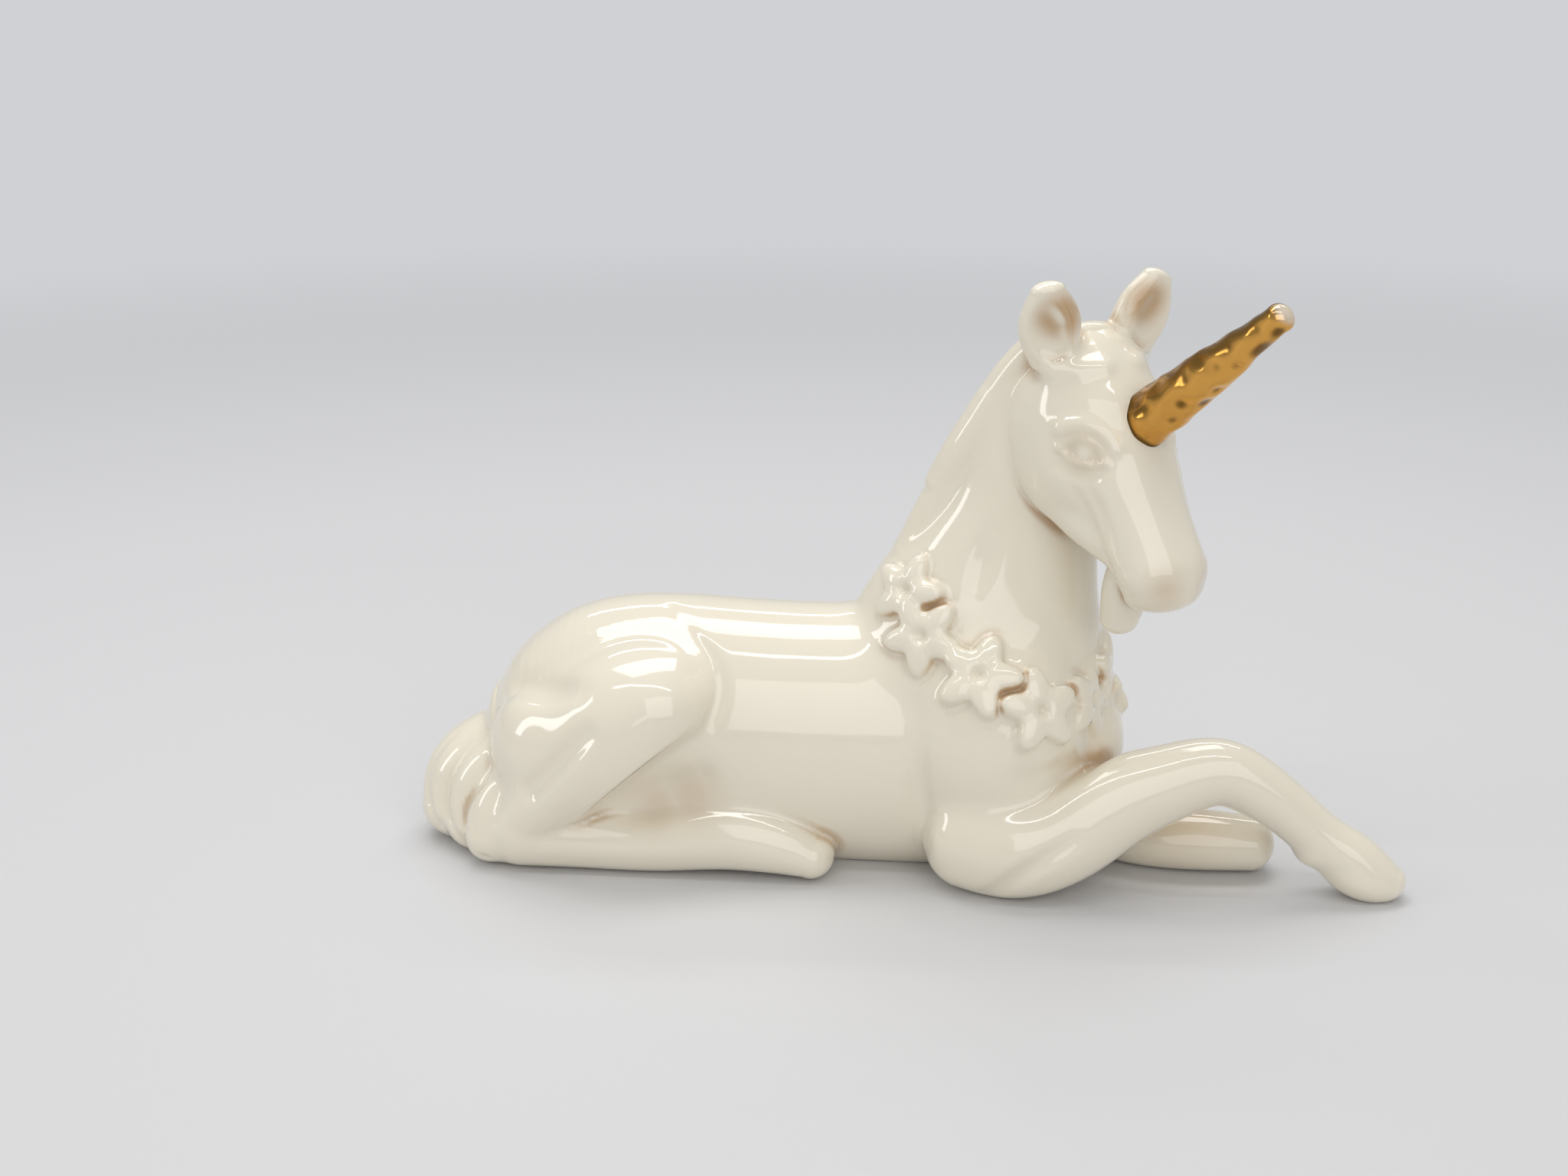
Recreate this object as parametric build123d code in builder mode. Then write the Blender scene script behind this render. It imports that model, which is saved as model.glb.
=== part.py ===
from build123d import *
import os
from math import cos, dist, pi, radians, sin, sqrt

# Lying unicorn figurine, glazed porcelain with a gilded horn. Millimetres.
# X runs from tail to chest, the near flank faces -Y, Z is up and the base lies on Z = 0.

# Barrel of the body
body_length = 74.5
body_width = 32.0
back_height = 35.0
belly_drop = 2.6
rump_x = -50.0
casting_wall = 3.2
vent_diameter = 6.0
vent_x = -14.0

# Hind legs, each laid forward along the flank
hip_spread = 19.0
hip_x = -40.0
hip_height = 18.5
haunch_length = 31.0
haunch_depth = 22.0
haunch_height = 27.0
stifle_thickness = 15.0
hock_thickness = 10.0
hind_cannon_length = 41.0
hind_cannon_thickness = 9.4
hind_hoof_thickness = 6.6

# Forelegs: the near one reaches out over the folded far one
elbow_x = 12.0
elbow_spread = 27.0
shoulder_drop = 15.0
shoulder_thickness = 21.0
elbow_thickness = 14.0
knee_reach = 33.0
knee_height = 17.6
knee_thickness = 9.0
toe_reach = 57.5
hoof_thickness = 7.4
folded_reach = 38.5
folded_thickness = 8.4

# Neck
neck_base_length = 34.0
neck_base_width = 27.0
neck_top_length = 15.0
neck_top_width = 11.0
neck_rise = 38.0
neck_lean = 10.5
withers_x = 10.5

# Head, turned to the near side and tucked down
head_turn = 50.0
head_pitch = 62.0
poll_x = 24.7
poll_y = -4.0
poll_rise = 42.0
head_length = 38.5
cheek_width = 17.6
cheek_depth = 17.0
muzzle_width = 12.6
muzzle_depth = 10.6
ear_length = 11.0
ear_width = 8.4
ear_thickness = 4.2
ear_spread = 13.4
near_ear_outward = 0.55
far_ear_outward = 0.05
ear_cup_depth = 1.3
beard_length = 10.5
beard_width = 7.0
horn_length = 26.0
horn_rise = 0.20
horn_aside = -0.05
horn_base_diameter = 7.5
horn_tip_diameter = 4.1

# Mane and tail
mane_width = 6.0
mane_thickness = 4.0
tail_length = 23.4
tail_thickness = 12.0

# Star florets of the garland
floret_diameter = 8.7
floret_notch = 0.26
floret_thickness = 1.6
floret_root = 3.5
floret_dimple = 2.4
petal_count = 5

cap_angles = (28, 52, 72)


def direction(start, end):
    """Unit vector from one point to another."""
    return (Vector(*end) - Vector(*start)).normalized()


def with_caps(stations, start_cap, end_cap):
    """Add shrinking stations so that both ends of a limb are rounded."""
    first, second = stations[0], stations[1]
    last, before = stations[-1], stations[-2]
    back = direction(second[:3], first[:3])
    ahead = direction(before[:3], last[:3])

    def capped(station, way, length, angle):
        point = Vector(*station[:3]) + way * (length * sin(radians(angle)))
        shrink = cos(radians(angle))
        return (point.X, point.Y, point.Z, station[3] * shrink, station[4] * shrink)

    rows = list(stations)
    if start_cap:
        rows = [capped(first, back, start_cap, angle) for angle in reversed(cap_angles)] + rows
    if end_cap:
        rows = rows + [capped(last, ahead, end_cap, angle) for angle in cap_angles]
    return rows


def evenly(rows, count):
    """Resample stations at even steps of their travel and change of size, along a smooth curve."""
    knots = [0.0]
    for before, after in zip(rows, rows[1:]):
        knots.append(knots[-1] + dist(before, after))

    def slope(index):
        low, high = max(index - 1, 0), min(index + 1, len(rows) - 1)
        return [(end - start) / (knots[high] - knots[low]) for start, end in zip(rows[low], rows[high])]

    resampled = []
    for step in range(count):
        travel = knots[-1] * step / (count - 1)
        index = min(max(sum(knot <= travel for knot in knots) - 1, 0), len(rows) - 2)
        span = knots[index + 1] - knots[index]
        u = (travel - knots[index]) / span
        arrive = 3 * u**2 - 2 * u**3
        weights = (1 - arrive, (u**3 - 2 * u**2 + u) * span, arrive, (u**3 - u**2) * span)
        columns = zip(rows[index], slope(index), rows[index + 1], slope(index + 1))
        resampled.append(tuple(sum(w * value for w, value in zip(weights, column)) for column in columns))
    return resampled


def oval(half_side, half_across):
    """Closed oval outline of four tangent quarter curves."""
    mid_side, mid_across = half_side * sqrt(0.5), half_across * sqrt(0.5)
    Spline((half_side, 0), (mid_side, mid_across), (0, half_across), tangents=((0, 1), (-1, 0)))
    Spline((0, half_across), (-mid_side, mid_across), (-half_side, 0), tangents=((-1, 0), (0, -1)))
    Spline((-half_side, 0), (-mid_side, -mid_across), (0, -half_across), tangents=((0, -1), (1, 0)))
    Spline((0, -half_across), (mid_side, -mid_across), (half_side, 0), tangents=((1, 0), (0, 1)))


def limb(stations, side, start_cap=0.0, end_cap=0.0, sections=13):
    """Loft oval sections (x, y, z, half width along side, half height across it) along a line of points."""
    rows = evenly(with_caps(stations, start_cap, end_cap), sections)
    last = len(rows) - 1
    with BuildPart() as form:
        for index, (x, y, z, half_side, half_across) in enumerate(rows):
            tangent = direction(rows[max(index - 1, 0)][:3], rows[min(index + 1, last)][:3])
            across = tangent.cross(side)
            with BuildSketch(Plane((x, y, z), x_dir=across.cross(tangent), z_dir=tangent)):
                with BuildLine():
                    oval(half_side, half_across)
                make_face()
        loft()
    return form.part


ACROSS = Vector(0, 1, 0)
UP = Vector(0, 0, 1)

# Barrel: share of the length from the rump, share of the width, top and bottom as shares of the back height
barrel_profile = [
    (0.00, 0.83, 0.843, 0.07),
    (0.12, 0.96, 0.985, 0.00),
    (0.28, 0.99, 1.00, -0.01),
    (0.50, 0.99, 0.99, 0.00),
    (0.70, 0.99, 0.994, 0.00),
    (0.82, 0.975, 0.97, 0.04),
    (0.936, 0.85, 0.869, 0.154),
    (1.00, 0.645, 0.755, 0.25),
]


def barrel_stations(inset):
    """Oval stations of the barrel, drawn in by a wall for the hollow inside."""
    rows = []
    for along, width, top, bottom in barrel_profile:
        top_z = top * back_height - inset
        bottom_z = bottom * back_height - belly_drop + inset
        x = rump_x + inset + along * (body_length - 2 * inset)
        rows.append((x, 0, (top_z + bottom_z) / 2, width * body_width / 2 - inset, (top_z - bottom_z) / 2))
    return rows


rump_cap = 7.5
chest_cap = 8.0
body_outer = limb(barrel_stations(0), ACROSS, rump_cap, chest_cap)
body_hollow = limb(barrel_stations(casting_wall), ACROSS)
floor_plane = Plane.XY
hollow_floor = Plane.XY.offset(casting_wall)

with BuildPart() as body_form:
    add(body_outer)
    split(bisect_by=floor_plane, keep=Keep.TOP)

with BuildPart() as body_cavity:
    add(body_hollow)
    split(bisect_by=hollow_floor, keep=Keep.TOP)

with BuildPart() as body:
    add(body_form.part)
    add(body_cavity.part, mode=Mode.SUBTRACT)
    with BuildSketch(Plane.XY):
        with Locations((vent_x, 0)):
            Circle(vent_diameter / 2)
    extrude(amount=2 * casting_wall, mode=Mode.SUBTRACT)


# Hind legs
def hind_leg_form(side):
    """Haunch, thigh and cannon of one hind leg, before it is fitted to the body."""
    hip_y = side * hip_spread / 2
    foot_y = side * (hip_spread / 2 + 3.4)
    half_length = haunch_length / 2
    half_depth = haunch_depth / 2
    half_height = haunch_height / 2
    before, behind = hip_x + 0.25 * half_length, hip_x - 0.25 * half_length
    haunch = limb(
        [
            (behind, hip_y - side * 0.4, hip_height + 0.3, 0.96 * half_depth, 0.97 * half_height),
            (hip_x, hip_y, hip_height, half_depth, half_height),
            (before, hip_y + side * 0.4, hip_height + 0.3, 0.96 * half_depth, 0.97 * half_height),
        ],
        ACROSS,
        0.75 * half_length,
        0.75 * half_length,
    )
    hock_x = hip_x - 11.5
    half_stifle = stifle_thickness / 2
    half_hock = hock_thickness / 2
    thigh = limb(
        [
            (hip_x + 7.5, foot_y - side * 0.6, hip_height + 3.0, half_stifle, half_stifle),
            (hip_x + 0.5, foot_y, hip_height - 2.0, 0.93 * half_stifle, 0.93 * half_stifle),
            (hip_x - 6.5, foot_y, 0.55 * hip_height, 0.80 * half_stifle, 0.80 * half_stifle),
            (hock_x, foot_y, 1.12 * half_hock, half_hock, half_hock),
        ],
        ACROSS,
        0.8 * half_stifle,
        0.8 * half_hock,
    )
    half_cannon = hind_cannon_thickness / 2
    half_hoof = hind_hoof_thickness / 2
    toe_y = foot_y + side * 0.4
    # Share of the way to the hoof, then height, half width and half depth as shares of half the cannon
    cannon_profile = [
        (0.27, 0.98, 0.98, 1.02),
        (0.52, 1.02, 0.98, 1.02),
        (0.72, 1.22, 1.02, 1.12),
        (0.90, 1.00, 0.98, 0.98),
    ]
    cannon_rows = [(hock_x + 0.5, foot_y, 1.06 * half_cannon, 1.1 * half_cannon, 1.15 * half_cannon)]
    for share, lift, wide, deep in cannon_profile:
        x = hock_x + share * hind_cannon_length
        cannon_rows.append((x, foot_y, lift * half_cannon, wide * half_cannon, deep * half_cannon))
    cannon_rows.append((hock_x + hind_cannon_length, toe_y, 1.02 * half_hoof, 1.15 * half_hoof, half_hoof))
    cannon = limb(cannon_rows, ACROSS, half_cannon, half_hoof)
    with BuildPart() as leg:
        add(haunch)
        add(thigh)
        add(cannon)
        split(bisect_by=floor_plane, keep=Keep.TOP)
        split(bisect_by=Plane.XZ, keep=Keep.TOP if side < 0 else Keep.BOTTOM)
    return leg.part


near_hind_form = hind_leg_form(-1)
far_hind_form = hind_leg_form(1)

with BuildPart() as near_hind_leg:
    add(near_hind_form)
    add(body_form.part, mode=Mode.SUBTRACT)

with BuildPart() as far_hind_leg:
    add(far_hind_form)
    add(body_form.part, mode=Mode.SUBTRACT)


# Forelegs
near_y = -elbow_spread / 2
half_elbow = elbow_thickness / 2
half_knee = knee_thickness / 2
half_hoof = hoof_thickness / 2
shoulder_height = back_height - shoulder_drop


def shoulder_form(side):
    """Shoulder muscle that carries one foreleg."""
    half_shoulder = shoulder_thickness / 2
    elbow_y = side * elbow_spread / 2
    return limb(
        [
            (elbow_x + 2.5, side * 6.0, shoulder_height + 9.0, 0.80 * half_shoulder, 1.0 * half_shoulder),
            (elbow_x + 1.5, side * 8.5, shoulder_height, 0.95 * half_shoulder, 1.12 * half_shoulder),
            (elbow_x + 0.5, elbow_y * 0.88, 0.55 * shoulder_height, 0.8 * half_shoulder, half_shoulder),
            (elbow_x + 0.5, elbow_y, half_elbow * 0.9, 0.9 * half_elbow, half_elbow * 1.1),
        ],
        ACROSS,
        0.85 * half_shoulder,
        half_elbow,
    )


foot_line = near_y + 0.5
knee_x = elbow_x + knee_reach
toe_x = elbow_x + toe_reach
near_arm = limb(
    [
        (elbow_x - 1.0, near_y - 0.9, 1.03 * half_elbow, 0.92 * half_elbow, 1.03 * half_elbow),
        (elbow_x + 5.0, near_y - 3.1, 0.985 * half_elbow, 0.89 * half_elbow, half_elbow),
        (knee_x - 0.64 * knee_reach, near_y - 2.3, 0.51 * knee_height, 1.38 * half_knee, 1.49 * half_knee),
        (knee_x - 0.45 * knee_reach, near_y - 1.1, 0.733 * knee_height, 1.29 * half_knee, 1.42 * half_knee),
        (knee_x - 0.21 * knee_reach, near_y, 0.92 * knee_height, 1.09 * half_knee, 1.18 * half_knee),
        (knee_x, foot_line, knee_height, 0.96 * half_knee, 1.02 * half_knee),
        (knee_x + 4.4, foot_line, 0.89 * knee_height, 0.88 * half_knee, 0.94 * half_knee),
        (knee_x + 9.6, foot_line, 0.68 * knee_height, 0.94 * half_hoof, half_hoof),
        (toe_x - 10.5, foot_line, 0.466 * knee_height, 0.96 * half_hoof, 1.02 * half_hoof),
        (toe_x - 5.3, foot_line, 1.27 * half_hoof, half_hoof, 1.03 * half_hoof),
        (toe_x - 1.0, foot_line, 0.66 * half_hoof, 0.80 * half_hoof, 0.68 * half_hoof),
    ],
    ACROSS,
    half_elbow,
    0.6 * half_hoof,
)
half_fold = folded_thickness / 2
half_spread = elbow_spread / 2
fold_x = elbow_x + folded_reach
# Share of the reach left, share of the spread, then height, half width and half depth by half the fold
fold_profile = [
    (0.66, 0.15, 1.26, 1.26, 1.26),
    (0.43, -0.31, 1.03, 1.17, 1.05),
    (0.22, -0.44, 1.02, 1.14, 1.02),
    (0.00, -0.44, 0.95, 1.00, 0.94),
]
far_rows = [(elbow_x, 0.82 * half_spread, 0.95 * half_elbow, 0.85 * half_elbow, half_elbow)]
for left, spread, lift, wide, deep in fold_profile:
    x = fold_x - left * folded_reach
    far_rows.append((x, spread * half_spread, lift * half_fold, wide * half_fold, deep * half_fold))
far_arm = limb(far_rows, ACROSS, half_elbow, 0.8 * half_fold)

near_shoulder = shoulder_form(-1)
far_shoulder = shoulder_form(1)

with BuildPart() as near_foreleg:
    add(near_shoulder)
    add(near_arm)
    split(bisect_by=floor_plane, keep=Keep.TOP)
    add(body_outer, mode=Mode.SUBTRACT)

with BuildPart() as far_foreleg:
    add(far_shoulder)
    add(far_arm)
    split(bisect_by=floor_plane, keep=Keep.TOP)
    add(body_outer, mode=Mode.SUBTRACT)
    add(near_arm, mode=Mode.SUBTRACT)
    add(near_shoulder, mode=Mode.SUBTRACT)

# Head frame: down the face, out of the face, and to the near side
turn = radians(head_turn)
pitch = radians(head_pitch)
poll = Vector(poll_x, poll_y, back_height + poll_rise)
facing = Vector(cos(turn), -sin(turn), 0)
to_near = facing.cross(UP)
down_face = facing * cos(pitch) - UP * sin(pitch)
off_face = facing * sin(pitch) + UP * cos(pitch)


def on_head(along, out, aside=0.0):
    """Point given by its distance down the face, out of the face plane and to the near side."""
    point = poll + down_face * along + off_face * out + to_near * aside
    return (point.X, point.Y, point.Z)


half_cheek = cheek_width / 2
half_jaw = cheek_depth / 2
half_muzzle = muzzle_width / 2
half_lip = muzzle_depth / 2
skull = limb(
    [
        (*on_head(0.083 * head_length, -3.2), 0.84 * half_cheek, 0.73 * half_jaw),
        (*on_head(0.208 * head_length, -3.6), 0.955 * half_cheek, 0.92 * half_jaw),
        (*on_head(0.35 * head_length, -3.7), half_cheek, half_jaw),
        (*on_head(0.48 * head_length, -2.9), 0.943 * half_cheek, 0.894 * half_jaw),
        (*on_head(0.623 * head_length, -1.9), 1.127 * half_muzzle, 1.19 * half_lip),
        (*on_head(0.753 * head_length, -1.0), half_muzzle, half_lip),
        (*on_head(0.87 * head_length, -0.7), half_muzzle, 0.95 * half_lip),
        (*on_head(0.94 * head_length, -1.2), 0.86 * half_muzzle, 0.83 * half_lip),
    ],
    to_near,
    0.4 * half_jaw,
    0.5 * half_lip,
)


# Share of the head's length, out of the face, aside, half width and half depth of the cheek
cheek_profile = [
    (0.21, -6.2, 0.57, 0.44, 0.64),
    (0.34, -6.8, 0.61, 0.58, 0.89),
    (0.48, -7.2, 0.60, 0.46, 0.64),
    (0.64, -6.0, 0.52, 0.33, 0.36),
]


def cheek_form(side):
    """Round cheek that runs down into the edge of the jaw."""
    rows = []
    for share, out, aside, wide, deep in cheek_profile:
        place = on_head(share * head_length, out, side * aside * half_cheek)
        rows.append((*place, wide * half_cheek, deep * half_jaw))
    return limb(rows, to_near, 0.4 * half_jaw, 0.3 * half_jaw)


# Neck, from the withers up into the head
half_base = neck_base_length / 2
half_base_width = neck_base_width / 2
half_top = neck_top_length / 2
half_top_width = neck_top_width / 2
neck_foot = back_height - 8.0

# Share of the rise, share of the lean, across, half width, half length
neck_profile = [
    (0.00, -0.05, 0.0, 1.06 * half_base_width, 1.02 * half_base),
    (0.20, 0.10, 0.0, 0.95 * half_base_width, 0.98 * half_base),
    (0.40, 0.32, -0.4, 0.78 * half_base_width, 0.80 * half_base),
    (0.61, 0.52, -1.0, 1.42 * half_top_width, 1.45 * half_top),
    (0.82, 0.72, -1.8, 1.13 * half_top_width, 1.16 * half_top),
    (1.03, 0.98, -2.8, half_top_width, half_top),
    (1.14, 1.14, -3.6, 0.95 * half_top_width, 0.84 * half_top),
]
neck_line = limb(
    [
        (withers_x + lean * neck_lean, across, neck_foot + rise * neck_rise, wide, deep)
        for rise, lean, across, wide, deep in neck_profile
    ],
    ACROSS,
    0.0,
    0.6 * half_top_width,
)

with BuildPart() as head:
    add(skull)
    add(cheek_form(1))
    add(cheek_form(-1))

with BuildPart() as neck:
    add(neck_line)
    add(body_outer, mode=Mode.SUBTRACT)
    add(near_shoulder, mode=Mode.SUBTRACT)
    add(far_shoulder, mode=Mode.SUBTRACT)
    add(head.part, mode=Mode.SUBTRACT)

# Ears, horn and beard, each luted to the head
half_ear = ear_width / 2
ear_shape = [(0.0, 0.76), (0.38, 1.00), (0.68, 0.86), (0.90, 0.52)]


def ear_form(side, outward):
    """Leaf shaped ear with a hollow cup on its front, turned outward from the face by a share."""
    base = Vector(*on_head(3.4, -1.8, side * ear_spread / 2))
    tip = Vector(*on_head(-4.9, 4.6, side * (ear_spread / 2 + 3.2)))
    axis = (tip - base).normalized()
    front = off_face + to_near * (outward * side)
    front = (front - axis * front.dot(axis)).normalized()
    wide = axis.cross(front)
    shell = []
    cup = []
    for share, width in ear_shape:
        point = base + axis * (share * ear_length)
        inside = point + front * (0.5 * ear_thickness)
        shell.append((point.X, point.Y, point.Z, width * half_ear, width * ear_thickness / 2))
        cup.append((inside.X, inside.Y, inside.Z, 0.62 * width * half_ear, width * ear_cup_depth))
    leaf = limb(shell, wide, 0.0, 0.10 * ear_length)
    hollow = limb(cup[1:], wide, 0.16 * ear_length, 0.0)
    with BuildPart() as ear:
        add(leaf)
        add(hollow, mode=Mode.SUBTRACT)
        add(head.part, mode=Mode.SUBTRACT)
    return ear.part


horn_seat = on_head(0.39 * head_length, 3.0, -0.5)
horn_way = off_face - down_face * horn_rise + to_near * horn_aside
horn_plane = Plane(horn_seat, x_dir=horn_way.cross(down_face), z_dir=horn_way)
horn_sunk = 2.0
tip_radius = horn_tip_diameter / 2
with BuildPart() as horn:
    with BuildSketch(horn_plane):
        Circle(horn_base_diameter / 2)
    with BuildSketch(horn_plane.offset(horn_sunk + horn_length)):
        Circle(tip_radius)
    loft()
    tip_edge = horn.edges().group_by(Axis(horn_plane.origin, horn_plane.z_dir))[-1]
    fillet(tip_edge, 0.8 * tip_radius)
    add(head.part, mode=Mode.SUBTRACT)

half_beard = beard_width / 2
chin = 0.795 * head_length
throat = -4.6
half_goatee = 0.8 * half_beard
beard_line = limb(
    [
        (*on_head(chin, throat), 0.86 * half_beard, 0.74 * half_beard),
        (*on_head(chin + 0.36 * beard_length, throat - 0.29 * beard_length), half_beard, 0.86 * half_beard),
        (*on_head(chin + 0.72 * beard_length, throat - 0.58 * beard_length), half_goatee, 0.88 * half_goatee),
    ],
    to_near,
    0.0,
    0.16 * beard_length,
)
with BuildPart() as beard:
    add(beard_line)
    add(head.part, mode=Mode.SUBTRACT)

near_ear = ear_form(1, near_ear_outward)
far_ear = ear_form(-1, far_ear_outward)

# Tail, laid round to the near side, and mane along the crest
half_tail = tail_thickness / 2
tail_end_x = rump_x - 0.60 * tail_length
tail_root = limb(
    [
        (rump_x + 2.0, 0, 0.52 * back_height, 1.05 * half_tail, half_tail),
        (rump_x - 0.28 * tail_length, -1.0, 0.42 * back_height, 1.05 * half_tail, 0.95 * half_tail),
        (tail_end_x, -3.0, 0.24 * back_height, 1.05 * half_tail, 0.92 * half_tail),
    ],
    ACROSS,
    0.0,
    0.95 * half_tail,
)
tail_sweep = limb(
    [
        (tail_end_x, -2.6, 0.15 * back_height, 0.75 * half_tail, 1.0 * half_tail),
        (rump_x - 0.40 * tail_length, -7.2, 0.13 * back_height, 0.75 * half_tail, 0.9 * half_tail),
        (rump_x - 0.10 * tail_length, -12.0, 0.10 * back_height, 0.60 * half_tail, 0.65 * half_tail),
    ],
    UP,
    0.9 * half_tail,
    0.6 * half_tail,
)
with BuildPart() as tail:
    add(tail_root)
    add(tail_sweep)
    split(bisect_by=floor_plane, keep=Keep.TOP)
    add(body_form.part, mode=Mode.SUBTRACT)
    add(near_hind_leg.part, mode=Mode.SUBTRACT)
    add(far_hind_leg.part, mode=Mode.SUBTRACT)

half_mane = mane_width / 2
crest = [(0.34, -0.93), (0.50, -0.79), (0.66, -0.67), (0.84, -0.54), (1.03, -0.44), (1.18, -0.33)]
mane_line = limb(
    [
        (
            withers_x + 0.86 * rise * neck_lean + back * half_base,
            0.6 - 2.6 * rise,
            neck_foot + rise * neck_rise,
            half_mane,
            mane_thickness / 2,
        )
        for rise, back in crest
    ],
    ACROSS,
    half_mane,
    half_mane,
)
with BuildPart() as mane:
    add(mane_line)
    add(neck_line, mode=Mode.SUBTRACT)
    add(head.part, mode=Mode.SUBTRACT)
    add(near_ear, mode=Mode.SUBTRACT)

# Garland: seats of the florets on the near side, from the withers down the shoulder to the chest
# each seat is given along the body, across it and above the line of the back
near_seats = [
    (-1.0, -8.2, 8.5),
    (2.5, -13.4, 2.0),
    (10.7, -17.0, -2.5),
    (19.3, -18.0, -7.4),
    (26.2, -13.0, -4.6),
    (31.0, -5.0, -5.7),
]
far_seats = [(x, -y, above) for x, y, above in near_seats]
garland_centre = Vector(withers_x + 3.0, 0, back_height - 2.0)
bearers = [neck_line, body_outer, near_shoulder, far_shoulder]


def floret_form(along, across, above):
    """Five petalled star with a dimpled middle, rooted in what it lies on."""
    seat = Vector(along, across, back_height + above)
    outward = (seat - garland_centre).normalized()
    face = Plane(seat, x_dir=UP.cross(outward), z_dir=outward)
    radius = floret_diameter / 2
    points = 4 * petal_count
    with BuildPart() as floret:
        with BuildSketch(face.offset(-floret_root)):
            with BuildLine():
                turns = [2 * pi * step / points for step in range(points)]
                petals = [1 - floret_notch + floret_notch * cos(petal_count * turn) for turn in turns]
                spread = [radius * share for share in petals]
                Spline([(r * sin(turn), r * cos(turn)) for r, turn in zip(spread, turns)], periodic=True)
            make_face()
        extrude(amount=floret_root + floret_thickness)
        with Locations(face.offset(floret_thickness + 0.5 * floret_dimple)):
            Sphere(floret_dimple, mode=Mode.SUBTRACT)
        for bearer in bearers:
            add(bearer, mode=Mode.SUBTRACT)
    return floret.part


pieces = {
    "body": body.part,
    "near_hind_leg": near_hind_leg.part,
    "far_hind_leg": far_hind_leg.part,
    "near_foreleg": near_foreleg.part,
    "far_foreleg": far_foreleg.part,
    "neck": neck.part,
    "head": head.part,
    "near_ear": near_ear,
    "far_ear": far_ear,
    "horn": horn.part,
    "beard": beard.part,
    "tail": tail.part,
    "mane": mane.part,
}
for number, seat in enumerate(near_seats + far_seats, start=1):
    pieces[f"floret_{number}"] = floret_form(*seat)

os.makedirs("parts", exist_ok=True)
for name, piece in pieces.items():
    piece.label = name
    export_step(piece, f"parts/{name}.step")
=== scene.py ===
"""Lying unicorn figurine: creamy glazed porcelain, a gilded horn and a garland of star florets.

The castings are modelled as fields of clay in millimetres, pressed together, tooled and then skinned.
X runs from tail to chest, the near flank faces -Y, Z is up and the base lies on Z = 0.
"""

import math
from concurrent.futures import ThreadPoolExecutor

import bpy
import numpy as np
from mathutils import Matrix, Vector


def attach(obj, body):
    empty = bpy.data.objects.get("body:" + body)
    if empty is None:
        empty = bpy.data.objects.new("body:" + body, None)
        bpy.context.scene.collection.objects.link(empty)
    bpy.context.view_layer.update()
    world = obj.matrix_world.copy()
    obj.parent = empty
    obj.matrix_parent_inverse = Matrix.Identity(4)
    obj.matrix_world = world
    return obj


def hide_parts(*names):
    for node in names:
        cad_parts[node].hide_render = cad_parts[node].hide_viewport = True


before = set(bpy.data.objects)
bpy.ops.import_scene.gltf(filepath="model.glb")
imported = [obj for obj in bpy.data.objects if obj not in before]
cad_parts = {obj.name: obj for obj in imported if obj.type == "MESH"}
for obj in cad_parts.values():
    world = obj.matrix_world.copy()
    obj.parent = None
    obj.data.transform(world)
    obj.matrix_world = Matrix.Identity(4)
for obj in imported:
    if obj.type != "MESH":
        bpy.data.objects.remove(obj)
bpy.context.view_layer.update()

MM = 0.001
OPEN_AIR = 1000.0
REACH = 6.0


# Clay kit


def unit(vectors):
    """Vectors at length one."""
    vectors = np.asarray(vectors, float)
    return vectors / np.linalg.norm(vectors, axis=-1, keepdims=True)


def flowing(travel, rows, where):
    """Natural cubic curve through rows, read at other places along its travel."""
    travel, rows = np.asarray(travel, float), np.asarray(rows, float)
    count = len(travel)
    step = np.diff(travel)
    system = np.zeros((count, count))
    right = np.zeros_like(rows)
    system[0, 0] = system[-1, -1] = 1.0
    for i in range(1, count - 1):
        system[i, i - 1 : i + 2] = step[i - 1], 2 * (step[i - 1] + step[i]), step[i]
        right[i] = 6 * ((rows[i + 1] - rows[i]) / step[i] - (rows[i] - rows[i - 1]) / step[i - 1])
    bend = np.linalg.solve(system, right)
    i = np.clip(np.searchsorted(travel, where) - 1, 0, count - 2)
    before = ((travel[i + 1] - where) / step[i])[:, None]
    after = ((where - travel[i]) / step[i])[:, None]
    curl = (before**3 - before) * bend[i] + (after**3 - after) * bend[i + 1]
    return before * rows[i] + after * rows[i + 1] + curl * (step[i] ** 2)[:, None] / 6


def along(rows, count):
    """Rows resampled evenly along the smooth line through them."""
    rows = np.asarray(rows, float)
    travel = np.r_[0.0, np.cumsum(np.linalg.norm(np.diff(rows[:, :3], axis=0), axis=1))]
    return flowing(travel, rows, np.linspace(0.0, travel[-1], count)), travel[-1]


def nearest_of(points, line):
    """Number of the nearest point of a line for each point."""
    points, line = points.astype(np.float32), line.astype(np.float32)
    return ((line**2).sum(1)[None] - 2 * points @ line.T).argmin(1)


def ease(value, low, high):
    """Smooth step from 0 at low to 1 at high."""
    share = np.clip((value - low) / (high - low), 0, 1)
    return share * share * (3 - 2 * share)


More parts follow.
